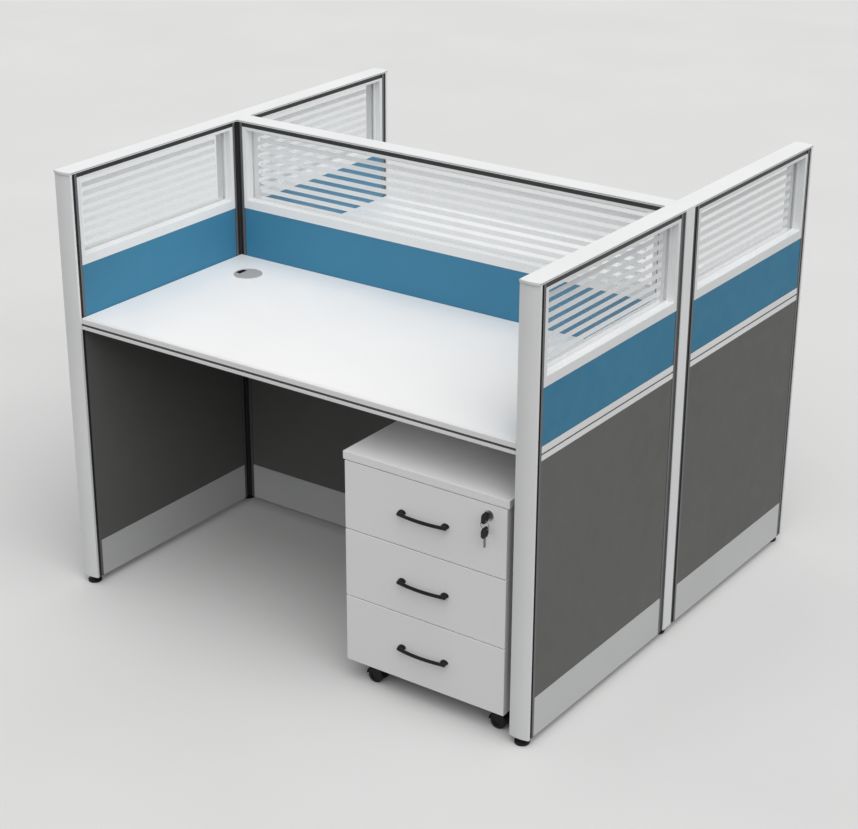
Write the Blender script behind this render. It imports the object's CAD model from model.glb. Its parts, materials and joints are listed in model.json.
import json
import math

import bmesh
import bpy
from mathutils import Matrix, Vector


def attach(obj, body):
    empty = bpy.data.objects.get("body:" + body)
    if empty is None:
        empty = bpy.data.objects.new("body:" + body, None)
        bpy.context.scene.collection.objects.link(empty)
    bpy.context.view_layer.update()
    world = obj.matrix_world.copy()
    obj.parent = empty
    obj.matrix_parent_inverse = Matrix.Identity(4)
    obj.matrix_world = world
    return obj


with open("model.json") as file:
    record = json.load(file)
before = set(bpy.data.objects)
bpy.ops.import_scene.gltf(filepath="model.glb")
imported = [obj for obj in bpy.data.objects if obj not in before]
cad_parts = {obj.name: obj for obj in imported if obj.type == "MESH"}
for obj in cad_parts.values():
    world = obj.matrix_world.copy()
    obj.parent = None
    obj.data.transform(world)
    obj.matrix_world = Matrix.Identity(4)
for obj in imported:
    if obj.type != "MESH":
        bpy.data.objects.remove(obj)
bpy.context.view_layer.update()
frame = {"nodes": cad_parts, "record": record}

NODES = frame["nodes"]
SLOT_OF = {part["node"]: part["material_slot"] for part in frame["record"]["subparts"]}
MM = 0.001
X, Y, Z = range(3)

# The photograph's frame and the camera fitted to it
PHOTO_WIDTH = 858
FOCAL_PIXELS = 1984.1
SENSOR_WIDTH = 36.0
CAMERA_PLACE = (2.7363, -3.9286, 2.5012)
CAMERA_TURN = (66.586, -0.224, 35.319)

# Light, background and floor
WORLD_LEVEL = 0.55
WORLD_COLOUR = (1.0, 1.0, 1.0, 1.0)
BACKGROUND = (0.78, 0.78, 0.78, 1.0)
SUN_AIM = (-0.48, 0.31, -0.82)
SUN_STRENGTH = 1.76
SUN_SPREAD = 70
FLOOR_HALF = 30
FLOOR_CLOUD = 800 * MM
FLOOR_SEEN = ((0.72, 0.72, 0.715), (0.75, 0.75, 0.745))
FLOOR_THROWN = (0.11, 0.11, 0.11)

# Glass stripes, and the seals between the panes and their beads
BEAD_HEIGHT = 3 * MM
STRIPE_PITCH = 23 * MM
STRIPE_HEIGHT = 12.5 * MM
FIRST_STRIPE = 914 * MM
STRIPE_MARGIN = 28 * MM
STRIPE_FILM = 0.15 * MM
FILM_GAP = 0.03 * MM
SEAL_INNER = 2.55 * MM
SEAL_OUTER = 4.2 * MM
SEAL_PROUD = 0.9 * MM
SEAL_SHOULDER = 0.63 * MM
SEAL_ROUND = 0.4 * MM

# Rounding of the boards' and tiles' edges, with angles in degrees
EASED_EDGE = 0.7 * MM
EASED_STEPS = 2
EASED_ANGLE = 50
ONE_PLANE_ANGLE = 1
ONE_POINT = 0.01 * MM
ONE_POINT_DIGITS = 5

# Screws of the worktop brackets, their heads' profile in shares of the radius and the height
SCREW_RADIUS = 4 * MM
SCREW_HEIGHT = 2.4 * MM
SCREW_SOCKET = 1.7 * MM
SCREW_SINK = 1.2 * MM
SCREW_SIDES = 24
SCREW_SHARES = ((1.0, 0.0), (1.0, 0.3), (0.88, 0.72), (0.65, 0.96))
SCREW_OFFSET = 8.5 * MM
SCREW_STEPS = ((60 * MM, 1), (190 * MM, -1))
SCREW_DROP = 8 * MM
BRACKET_PLATE = 3 * MM

# Places that tell the parts of one node apart: the partitions' recesses, the grommets and the keys
SIDE_MIDDLE = 674 * MM
RECESS_EDGE = (24.6 * MM, 24.8 * MM)
CAP_GROOVE_EDGE = (24.4 * MM, 24.6 * MM)
CAP_LINE_MIDDLE = 1123.6 * MM
CAP_LINE_EDGE = (0.6 * MM, 0.65 * MM)
GROMMET_PLACE = (527 * MM, 141 * MM)
GROMMET_MOUTH = 32.3 * MM
GROMMET_LIP = 752.2 * MM
GROMMET_SLEEVE = 749 * MM
KEY_HEAD = 12.6 * MM
KEY_MIDDLE = 577 * MM
KEY_HALF = 2.1 * MM
LOCK_KEY_MIDDLE = -655 * MM
SPARE_KEY_MIDDLE = 520 * MM

# Sizes of the clouds, flecks and grains in the finishes, and depths of their relief
COAT_GRAIN = 1.1 * MM
COAT_RELIEF = 0.025 * MM
COAT_CLOUD = 300 * MM
COAT_HANDLED = 60 * MM
BOARD_GRAIN = 0.7 * MM
BOARD_CLOUD = 500 * MM
BOX_CLOUD = 200 * MM
HANDLE_CLOUD = 30 * MM
TILE_CLOUD = 450 * MM
TILE_FLECK = 0.9 * MM
TILE_HANDLED = 50 * MM
TILE_GRAIN = 0.8 * MM
TILE_RELIEF = 0.05 * MM
SPANGLE = 6 * MM
DRAWN_LINE = 0.5 * MM
DRAWN_RELIEF = 0.01 * MM
SCUFF = 9 * MM
MOULD_SHEEN = 4 * MM
MOULD_GRAIN = 0.6 * MM
MOULD_RELIEF = 0.04 * MM
GLASS_SMEAR = 120 * MM
GLASS_STRETCH = (1, 1, 2.5)
FROST_CLOUD = 80 * MM
FROST_GRAIN = 0.5 * MM
FROST_RELIEF = 0.03 * MM

# Colours that several finishes share, or that lie in grooves and on the keys
WHITE = (0.86, 0.865, 0.87)
BLACK = (0.008, 0.008, 0.008)
REVEAL_BLACK = (0.020, 0.020, 0.021)
CAP_LINE_GREY = (0.22, 0.22, 0.22)
RAIL_GROOVE_GREY = (0.24, 0.24, 0.24)
KEY_BLACK = (0.008, 0.008, 0.009)
KEY_METAL = (0.28, 0.28, 0.275)

# Colour sockets of a Mix node, whose names its other kinds share
MIX_FIRST, MIX_SECOND, MIX_RESULT = 6, 7, 2


# Finishes
class Finish:
    """A Principled material whose variation comes from noise in the piece's own space."""

    def __init__(self, name, **constants):
        self.material = bpy.data.materials.new(name)
        self.material.use_nodes = True
        self.nodes = self.material.node_tree.nodes
        self.links = self.material.node_tree.links
        self.shader = self.nodes["Principled BSDF"]
        for socket, value in constants.items():
            self.shader.inputs[socket.replace("_", " ")].default_value = value
        self.place = self.nodes.new("ShaderNodeTexCoord").outputs["Object"]

    def along(self, axis):
        """A point's place along one axis of the piece's own space."""
        parts = self.nodes.new("ShaderNodeSeparateXYZ")
        self.links.new(self.place, parts.inputs["Vector"])
        return parts.outputs[axis]

    def stretched(self, stretch):
        """The piece's own space, drawn out along its axes by these factors."""
        mapping = self.nodes.new("ShaderNodeMapping")
        mapping.inputs["Scale"].default_value = [1 / factor for factor in stretch]
        self.links.new(self.place, mapping.inputs["Vector"])
        return mapping.outputs["Vector"]

    def noise(self, size, detail, stretch=None):
        """Soft noise whose blotches are about this size."""
        texture = self.nodes.new("ShaderNodeTexNoise")
        texture.inputs["Scale"].default_value = 1 / size
        texture.inputs["Detail"].default_value = detail
        place = self.stretched(stretch) if stretch else self.place
        self.links.new(place, texture.inputs["Vector"])
        return texture.outputs["Fac"]

    def cloud(self, size, detail):
        """Soft noise that runs from zero to one."""
        return self.ranged(self.noise(size, detail), 0.0, 1.0)

    def cells(self, size):
        """Crystal-like cells of about this size."""
        texture = self.nodes.new("ShaderNodeTexVoronoi")
        texture.inputs["Scale"].default_value = 1 / size
        self.links.new(self.place, texture.inputs["Vector"])
        return texture.outputs["Color"]

    def ranged(self, source, low, high, start=0.3, end=0.7):
        """A source's span, by default that of noise, turned into another span."""
        ranger = self.nodes.new("ShaderNodeMapRange")
        spans = {"From Min": start, "From Max": end, "To Min": low, "To Max": high}
        for socket, value in spans.items():
            ranger.inputs[socket].default_value = value
        self.links.new(source, ranger.inputs["Value"])
        return ranger.outputs["Result"]

    def mixed(self, factor, first, second):
        """A colour between two, each a colour or another node's output."""
        mixer = self.nodes.new("ShaderNodeMix")
        mixer.data_type = "RGBA"
        self.links.new(factor, mixer.inputs["Factor"])
        for index, colour in ((MIX_FIRST, first), (MIX_SECOND, second)):
            if isinstance(colour, bpy.types.NodeSocket):
                self.links.new(colour, mixer.inputs[index])
            else:
                mixer.inputs[index].default_value = (*colour, 1.0)
        return mixer.outputs[MIX_RESULT]

    def worked(self, operation, first, second=0.0):
        """A sum on one output and a number or another output."""
        step = self.nodes.new("ShaderNodeMath")
        step.operation = operation
        self.links.new(first, step.inputs[0])
        if isinstance(second, bpy.types.NodeSocket):
            self.links.new(second, step.inputs[1])
        else:
            step.inputs[1].default_value = second
        return step.outputs[0]

    def face(self):
        """The output that the base colour comes from so far."""
        return self.shader.inputs["Base Color"].links[0].from_socket

    def link(self, socket, source):
        self.links.new(source, self.shader.inputs[socket])

    def colour(self, source):
        self.link("Base Color", source)

    def rough(self, source, low, high):
        """Roughness that follows a source between two values."""
        self.link("Roughness", self.ranged(source, low, high))

    def relief(self, height, depth):
        """Fine relief of this depth."""
        bump = self.nodes.new("ShaderNodeBump")
        bump.inputs["Distance"].default_value = depth
        bump.inputs["Strength"].default_value = 1.0
        self.links.new(height, bump.inputs["Height"])
        self.link("Normal", bump.outputs["Normal"])


def shaded(colour, factor):
    """A colour made lighter or darker."""
    return tuple(min(1.0, part * factor) for part in colour)


def coating(name, colour, roughness, grain=COAT_GRAIN, vary=0.035, patch=COAT_CLOUD, **constants):
    """Paint, powder coat or moulded plastic: faint cloudiness and a fine orange-peel relief."""
    finish = Finish(name, **constants)
    cloud = finish.cloud(patch, detail=4.0)
    finish.colour(finish.mixed(cloud, shaded(colour, 1 - vary), shaded(colour, 1 + vary)))
    handled = finish.noise(COAT_HANDLED, detail=3.0)
    finish.rough(handled, roughness - 0.05, roughness + 0.05)
    finish.relief(finish.noise(grain, detail=3.0), COAT_RELIEF)
    return finish


def tile_facing(name, colour, roughness):
    """Matte facing of a partition tile: close-set flecks over slow cloudiness."""
    finish = Finish(name, Specular_IOR_Level=0.3)
    cloud = finish.cloud(TILE_CLOUD, detail=5.0)
    fleck = finish.cloud(TILE_FLECK, detail=2.0)
    ground = finish.mixed(cloud, shaded(colour, 0.95), shaded(colour, 1.05))
    flecked = finish.mixed(cloud, shaded(colour, 1.03), shaded(colour, 1.14))
    finish.colour(finish.mixed(fleck, ground, flecked))
    handled = finish.noise(TILE_HANDLED, detail=3.0)
    finish.rough(handled, roughness - 0.06, roughness + 0.06)
    finish.relief(finish.noise(TILE_GRAIN, detail=3.0), TILE_RELIEF)
    return finish


def plated(name, colour, roughness, stretch):
    """Plated steel: fine drawn lines and a faint spangle."""
    finish = Finish(name, Metallic=1.0)
    spangle = finish.ranged(finish.cells(SPANGLE), 0.0, 1.0, start=0.0, end=1.0)
    finish.colour(finish.mixed(spangle, shaded(colour, 0.92), shaded(colour, 1.06)))
    lines = finish.noise(DRAWN_LINE, detail=2.0, stretch=stretch)
    finish.rough(lines, roughness - 0.08, roughness + 0.1)
    finish.relief(lines, DRAWN_RELIEF)
    return finish


def moulded(name, colour, roughness, wear):
    """Moulding with a spark-eroded texture, and scuffs where it has been touched."""
    finish = Finish(name, Specular_IOR_Level=0.25)
    scuff = finish.ranged(finish.noise(SCUFF, detail=6.0), 0.0, wear, start=0.55, end=0.75)
    finish.colour(finish.mixed(scuff, colour, shaded(colour, 3.0)))
    sheen = finish.noise(MOULD_SHEEN, detail=4.0)
    finish.rough(sheen, roughness - 0.07, roughness + 0.07)
    finish.relief(finish.noise(MOULD_GRAIN, detail=3.0), MOULD_RELIEF)
    return finish


def clear_glass(name):
    """Float glass with a green cast and faint smears."""
    finish = Finish(name, Specular_IOR_Level=0.5, IOR=1.5)
    smear = finish.noise(GLASS_SMEAR, detail=5.0, stretch=GLASS_STRETCH)
    cloud = finish.ranged(smear, 0.0, 1.0)
    finish.colour(finish.mixed(cloud, (0.78, 0.83, 0.83), (0.86, 0.90, 0.90)))
    finish.rough(smear, 0.02, 0.08)
    finish.link("Alpha", finish.ranged(smear, 0.045, 0.075))
    return finish


def frosted_film(name):
    """Milky film of the stripes, with an etched grain."""
    finish = Finish(name, Specular_IOR_Level=0.4)
    cloud = finish.cloud(FROST_CLOUD, detail=4.0)
    finish.colour(finish.mixed(cloud, (0.95, 0.97, 0.98), (0.97, 0.985, 0.995)))
    grain = finish.noise(FROST_GRAIN, detail=2.0)
    finish.rough(grain, 0.45, 0.62)
    finish.link("Alpha", finish.ranged(cloud, 0.79, 0.83))
    finish.relief(grain, FROST_RELIEF)
    return finish


def away_from(finish, axis, middle, mirrored=False):
    """How far a point lies from a plane across an axis, or from it and its mirror image."""
    distance = finish.along(axis)
    if mirrored:
        distance = finish.worked("ABSOLUTE", distance)
    return finish.worked("ABSOLUTE", finish.worked("SUBTRACT", distance, middle))


def out_of_wall(finish):
    """How far a point of the partitions lies from the middle of its wall."""
    from_side = away_from(finish, "X", SIDE_MIDDLE, mirrored=True)
    return finish.worked("MINIMUM", from_side, away_from(finish, "Y", 0.0))


def recessed(finish, deep):
    """Another colour in the recesses behind the partitions' faces."""
    proud = finish.ranged(out_of_wall(finish), 0.0, 1.0, *RECESS_EDGE)
    finish.colour(finish.mixed(proud, deep, finish.face()))
    return finish


def lined_cap(finish, dark):
    """A dark line in the fine groove along the sides of a cap."""
    off_line = away_from(finish, "Z", CAP_LINE_MIDDLE)
    level = finish.ranged(off_line, 1.0, 0.0, *CAP_LINE_EDGE)
    side = finish.ranged(out_of_wall(finish), 0.0, 1.0, *CAP_GROOVE_EDGE)
    line = finish.worked("MULTIPLY", level, side)
    finish.colour(finish.mixed(line, finish.face(), dark))
    return finish


def dark_within(finish):
    """Near black in a grommet's slot and sleeve, where little light gets in."""
    level = finish.along("Z")
    across = [finish.worked("POWER", away_from(finish, axis, middle, mirrored=True), 2.0)
              for axis, middle in zip("XY", GROMMET_PLACE)]
    reach = finish.worked("POWER", finish.worked("ADD", *across), 0.5)
    outside = finish.worked("GREATER_THAN", reach, GROMMET_MOUTH)
    above_lip = finish.worked("GREATER_THAN", level, GROMMET_LIP)
    above_sleeve = finish.worked("GREATER_THAN", level, GROMMET_SLEEVE)
    beside = finish.worked("MULTIPLY", outside, above_sleeve)
    open_air = finish.worked("MAXIMUM", above_lip, beside)
    finish.colour(finish.mixed(open_air, REVEAL_BLACK, finish.face()))
    return finish


def key_finish(name, axis, middle):
    """A key: black moulded head, and metal beyond it along an axis and outside its thickness."""
    finish = moulded(name, KEY_BLACK, 0.42, wear=0.3)
    beyond = finish.worked("GREATER_THAN", away_from(finish, axis, middle), KEY_HEAD)
    beside = finish.worked("GREATER_THAN", away_from(finish, "X", KEY_MIDDLE), KEY_HALF)
    metal = finish.worked("MAXIMUM", beyond, beside)
    finish.colour(finish.mixed(metal, finish.face(), KEY_METAL))
    finish.link("Metallic", metal)
    return finish


def board(name, colour, roughness=0.40, vary=0.02, patch=BOARD_CLOUD):
    """A faced board, finer in grain than the coated metal."""
    return coating(name, colour, roughness, grain=BOARD_GRAIN, vary=vary, patch=patch)


FINISHES = {
    "white_aluminium": coating("WhiteAluminium", WHITE, 0.36),
    "grey_aluminium": coating("GreyAluminium", (0.042, 0.042, 0.045), 0.45, vary=0.1),
    "white_steel": coating("WhiteSteel", (0.62, 0.625, 0.63), 0.42),
    "white_frame": coating("WhiteFrame", (0.84, 0.85, 0.855), 0.34),
    "pane": clear_glass("Pane"),
    "blue_tile": tile_facing("BlueTile", (0.047, 0.210, 0.348), 0.62),
    "grey_tile": tile_facing("GreyTile", (0.132, 0.132, 0.128), 0.66),
    "white_board": board("WhiteBoard", (0.92, 0.92, 0.92)),
    "white_edge": coating("WhiteEdge", (0.90, 0.90, 0.90), 0.36),
    "dark_inlay": coating("DarkInlay", (0.045, 0.045, 0.048), 0.55, vary=0.1),
    "grommet": dark_within(moulded("Grommet", (0.42, 0.42, 0.415), 0.45, wear=0.02)),
    "bracket_steel": coating("BracketSteel", (0.17, 0.175, 0.18), 0.45, vary=0.06),
    "black_foot": moulded("BlackFoot", BLACK, 0.55, wear=0.3),
    "runner_steel": plated("RunnerSteel", (0.60, 0.61, 0.62), 0.34, stretch=(1, 40, 1)),
    "handle_black": coating("HandleBlack", (0.007, 0.007, 0.007), 0.40, vary=0.15,
                            patch=HANDLE_CLOUD, Specular_IOR_Level=0.2),
    "lock_steel": plated("LockSteel", (0.36, 0.365, 0.37), 0.38, stretch=(1, 12, 1)),
    "castor_black": moulded("CastorBlack", BLACK, 0.50, wear=0.35),
}
FROST = frosted_film("FrostedFilm")
SEAL = moulded("GlazingSeal", (0.66, 0.665, 0.67), 0.55, wear=0.02)
DESK_BOARD = board("DeskBoard", (0.95, 0.945, 0.94))
BOX_BOARD = board("BoxBoard", (0.46, 0.46, 0.455), 0.48, vary=0.03, patch=BOX_CLOUD)
PANEL_FRAME = recessed(coating("PanelFrame", (0.135, 0.133, 0.137), 0.45), REVEAL_BLACK)
LINED_CAP = lined_cap(coating("LinedCap", WHITE, 0.36), CAP_LINE_GREY)

# Nodes whose finish differs from the other nodes of their slot
NODE_FINISHES = {
    "side_panel_frames": PANEL_FRAME,
    "spine_panel_frame": PANEL_FRAME,
    "mid_rails": recessed(coating("GroovedRail", WHITE, 0.36), RAIL_GROOVE_GREY),
    "side_top_caps": LINED_CAP,
    "spine_top_cap": LINED_CAP,
    "front_desktop": DESK_BOARD,
    "rear_desktop": DESK_BOARD,
    "drawer_1_box": BOX_BOARD,
    "drawer_2_box": BOX_BOARD,
    "drawer_3_box": BOX_BOARD,
    "lock_key": key_finish("LockKey", "Y", LOCK_KEY_MIDDLE),
    "spare_key": key_finish("SpareKey", "Z", SPARE_KEY_MIDDLE),
}

for node_name, slot_name in SLOT_OF.items():
    finish = NODE_FINISHES.get(node_name) or FINISHES[slot_name]
    materials = NODES[node_name].data.materials
    materials.clear()
    materials.append(finish.material)


# Soft edges on the boards and tiles
EASED = ("front_desktop", "rear_desktop", "pedestal_top",
         "drawer_1_front", "drawer_2_front", "drawer_3_front",
         "side_upper_tiles", "side_lower_tiles", "spine_upper_tiles", "spine_lower_tiles",
         "t_post_covers")
for node_name in EASED:
    modifiers = NODES[node_name].modifiers
    modifiers.new("OneSkin", "WELD").merge_threshold = ONE_POINT
    flat = modifiers.new("WholeFaces", "DECIMATE")
    flat.decimate_type = "DISSOLVE"
    flat.angle_limit = math.radians(ONE_PLANE_ANGLE)
    edge = modifiers.new("EasedEdges", "BEVEL")
    edge.width = EASED_EDGE
    edge.segments = EASED_STEPS
    edge.limit_method = "ANGLE"
    edge.angle_limit = math.radians(EASED_ANGLE)


# Pieces
def solids(node_name):
    """The boxes of a node's separate solids, each a lowest and a highest corner."""
    mesh = NODES[node_name].data
    leader = {}

    def find(key):
        while leader[key] != key:
            leader[key] = leader[leader[key]]
            key = leader[key]
        return key

    keys = [tuple(round(part, ONE_POINT_DIGITS) for part in vertex.co) for vertex in mesh.vertices]
    for key in keys:
        leader[key] = key
    for edge in mesh.edges:
        leader[find(keys[edge.vertices[0]])] = find(keys[edge.vertices[1]])
    boxes = {}
    for key in set(keys):
        low, high = boxes.setdefault(find(key), (Vector(key), Vector(key)))
        for axis in (X, Y, Z):
            low[axis] = min(low[axis], key[axis])
            high[axis] = max(high[axis], key[axis])
    return sorted(boxes.values(), key=lambda box: tuple(box[0]))


def piece(name, shape, finish, body="desk"):
    """A mesh made into a piece of the object that moves with a body."""
    bmesh.ops.recalc_face_normals(shape, faces=shape.faces)
    mesh = bpy.data.meshes.new(name)
    shape.to_mesh(mesh)
    shape.free()
    mesh.materials.append(finish.material)
    item = bpy.data.objects.new(name, mesh)
    bpy.context.scene.collection.objects.link(item)
    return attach(item, body)


def block(shape, low, high):
    """A closed box from its two corners."""
    corners = [shape.verts.new((x, y, z)) for z in (low[Z], high[Z]) for y in (low[Y], high[Y])
               for x in (low[X], high[X])]
    faces = ((0, 1, 3, 2), (4, 6, 7, 5), (0, 4, 5, 1), (1, 5, 7, 3), (3, 7, 6, 2), (2, 6, 4, 0))
    for face in faces:
        shape.faces.new([corners[index] for index in face])


def loft(shape, rings, closed):
    """Walls between rings of as many points each, closed on themselves or capped at the ends."""
    rings = [[shape.verts.new(point) for point in ring] for ring in rings]
    pairs = list(zip(rings, rings[1:]))
    if closed:
        pairs.append((rings[-1], rings[0]))
    for near, far in pairs:
        for index in range(len(near)):
            after = (index + 1) % len(near)
            shape.faces.new((near[index], near[after], far[after], far[index]))
    if not closed:
        shape.faces.new(list(reversed(rings[0])))
        shape.faces.new(rings[-1])


def pane_axes(low, high):
    """The axis through a pane and the level one along it."""
    return (X, Y) if high[X] - low[X] < high[Y] - low[Y] else (Y, X)


def opening(low, high):
    """The part of a pane that shows inside its beads."""
    _, along = pane_axes(low, high)
    inner_low, inner_high = low.copy(), high.copy()
    for axis in (along, Z):
        inner_low[axis] += BEAD_HEIGHT
        inner_high[axis] -= BEAD_HEIGHT
    return inner_low, inner_high


def stripes(name, node_name):
    """Bands of frosted film across a node's panes, on the outer face, or the front in the spine."""
    shape = bmesh.new()
    for pane in solids(node_name):
        low, high = opening(*pane)
        through, along = pane_axes(low, high)
        low[along] += STRIPE_MARGIN
        high[along] -= STRIPE_MARGIN
        if low[through] > 0:
            film = (high[through] + FILM_GAP, high[through] + FILM_GAP + STRIPE_FILM)
        else:
            film = (low[through] - FILM_GAP - STRIPE_FILM, low[through] - FILM_GAP)
        bottom = FIRST_STRIPE - STRIPE_HEIGHT / 2
        while bottom < high[Z]:
            start = low.copy()
            end = high.copy()
            start[through], end[through] = film
            start[Z] = max(bottom, low[Z])
            end[Z] = min(bottom + STRIPE_HEIGHT, high[Z])
            block(shape, start, end)
            bottom += STRIPE_PITCH
    piece(name, shape, FROST)


def seal_ring(shape, low, high, side):
    """A thin rounded seal round a pane's opening, on one face of the pane."""
    through, along = pane_axes(low, high)
    middle = (low[through] + high[through]) / 2
    section = ((SEAL_INNER, 0.0), (SEAL_INNER, SEAL_SHOULDER),
               (SEAL_INNER + SEAL_ROUND, SEAL_PROUD), (SEAL_OUTER - SEAL_ROUND, SEAL_PROUD),
               (SEAL_OUTER, SEAL_SHOULDER), (SEAL_OUTER, 0.0))
    corners = ((low[along], low[Z], 1, 1), (high[along], low[Z], -1, 1),
               (high[along], high[Z], -1, -1), (low[along], high[Z], 1, -1))
    rings = []
    for run, height, inward, upward in corners:
        ring = []
        for depth, proud in section:
            point = [0.0, 0.0, height + upward * proud]
            point[through] = middle + side * depth
            point[along] = run + inward * proud
            ring.append(point)
        rings.append(ring)
    loft(shape, rings, closed=True)


def seals(name, node_name):
    """Seals on both faces of every pane of a node."""
    shape = bmesh.new()
    for pane in solids(node_name):
        for side in (-1, 1):
            seal_ring(shape, *opening(*pane), side)
    piece(name, shape, SEAL)


def screw_head(shape, seat, outward):
    """A button head with a hexagon socket, on a seat that faces outward along an axis."""
    outward = Vector(outward)
    across = outward.orthogonal().normalized()
    beyond = outward.cross(across)
    sixth = math.pi / 3

    def ring(radius, height, hexagon=False):
        points = []
        for index in range(SCREW_SIDES):
            angle = 2 * math.pi * index / SCREW_SIDES
            reach = radius / math.cos(angle % sixth - sixth / 2) if hexagon else radius
            points.append(Vector(seat) + outward * height
                          + (across * math.cos(angle) + beyond * math.sin(angle)) * reach)
        return points

    rings = [ring(SCREW_RADIUS * wide, SCREW_HEIGHT * tall) for wide, tall in SCREW_SHARES]
    rings.append(ring(SCREW_SOCKET, SCREW_HEIGHT, hexagon=True))
    rings.append(ring(SCREW_SOCKET, SCREW_HEIGHT - SCREW_SINK, hexagon=True))
    loft(shape, rings, closed=False)


def bracket_screws():
    """Screws up into the worktops and into the partitions, two and two on each bracket."""
    shape = bmesh.new()
    for low, high in solids("desk_brackets"):
        reach, width = (X, Y) if high[X] - low[X] > high[Y] - low[Y] else (Y, X)
        middle = (low[width] + high[width]) / 2
        at_high = high[X] > 0 if reach == X else high[Y] < 0
        wall, away = (high[reach], -1) if at_high else (low[reach], 1)
        for step, side in SCREW_STEPS:
            seat = [0.0, 0.0, high[Z] - BRACKET_PLATE]
            seat[reach] = wall + away * step
            seat[width] = middle + side * SCREW_OFFSET
            screw_head(shape, seat, (0, 0, -1))
        facing = [0.0, 0.0, 0.0]
        facing[reach] = away
        for side in (-1, 1):
            seat = [0.0, 0.0, (low[Z] + high[Z]) / 2 - SCREW_DROP]
            seat[reach] = wall + away * BRACKET_PLATE
            seat[width] = middle + side * SCREW_OFFSET
            screw_head(shape, seat, facing)
    piece("bracket_screws", shape, FINISHES["runner_steel"])


stripes("side_glass_stripes", "side_glass_panes")
stripes("spine_glass_stripes", "spine_glass_pane")
seals("side_glass_seals", "side_glass_panes")
seals("spine_glass_seals", "spine_glass_pane")
bracket_screws()


# Stage, light and camera
def looked_at(nodes, links):
    """One for rays from the eye, in gloss or through glass, zero for rays that light a surface."""
    path = nodes.new("ShaderNodeLightPath")
    total = path.outputs["Is Camera Ray"]
    for ray in ("Is Glossy Ray", "Is Transmission Ray"):
        either = nodes.new("ShaderNodeMath")
        either.operation = "MAXIMUM"
        links.new(total, either.inputs[0])
        links.new(path.outputs[ray], either.inputs[1])
        total = either.outputs[0]
    return total


def stage_floor():
    """Plain floor that shows pale and throws back little light."""
    shape = bmesh.new()
    bmesh.ops.create_grid(shape, x_segments=2, y_segments=2, size=FLOOR_HALF)
    mesh = bpy.data.meshes.new("stage_floor")
    shape.to_mesh(mesh)
    shape.free()
    floor = bpy.data.objects.new("stage_floor", mesh)
    bpy.context.scene.collection.objects.link(floor)
    finish = Finish("StageFloor", Roughness=0.9, Specular_IOR_Level=0.1)
    seen = finish.mixed(finish.cloud(FLOOR_CLOUD, detail=4.0), *FLOOR_SEEN)
    finish.colour(finish.mixed(looked_at(finish.nodes, finish.links), FLOOR_THROWN, seen))
    mesh.materials.append(finish.material)


def world_light():
    """Even light from all round, over a pale background."""
    world = bpy.data.worlds.new("Studio")
    world.use_nodes = True
    bpy.context.scene.world = world
    nodes, links = world.node_tree.nodes, world.node_tree.links
    lit = nodes["Background"]
    lit.inputs["Color"].default_value = WORLD_COLOUR
    lit.inputs["Strength"].default_value = WORLD_LEVEL
    shown = nodes.new("ShaderNodeBackground")
    shown.inputs["Color"].default_value = BACKGROUND
    mixer = nodes.new("ShaderNodeMixShader")
    links.new(looked_at(nodes, links), mixer.inputs[0])
    links.new(lit.outputs[0], mixer.inputs[1])
    links.new(shown.outputs[0], mixer.inputs[2])
    links.new(mixer.outputs[0], nodes["World Output"].inputs["Surface"])


def soft_sun():
    """A wide lamp far off, which lights every place alike along one direction."""
    data = bpy.data.lights.new("SoftSun", "SUN")
    data.energy = SUN_STRENGTH
    data.angle = math.radians(SUN_SPREAD)
    lamp = bpy.data.objects.new("SoftSun", data)
    lamp.rotation_euler = Vector(SUN_AIM).to_track_quat("-Z", "Y").to_euler()
    bpy.context.scene.collection.objects.link(lamp)


def photo_camera():
    """The camera that took the photograph, as fitted."""
    data = bpy.data.cameras.new("PhotoCamera")
    data.sensor_width = SENSOR_WIDTH
    data.lens = FOCAL_PIXELS * SENSOR_WIDTH / PHOTO_WIDTH
    camera = bpy.data.objects.new("PhotoCamera", data)
    camera.location = CAMERA_PLACE
    camera.rotation_euler = [math.radians(angle) for angle in CAMERA_TURN]
    bpy.context.scene.collection.objects.link(camera)
    bpy.context.scene.camera = camera


stage_floor()
world_light()
soft_sun()
photo_camera()
bpy.context.scene.view_settings.view_transform = "Standard"
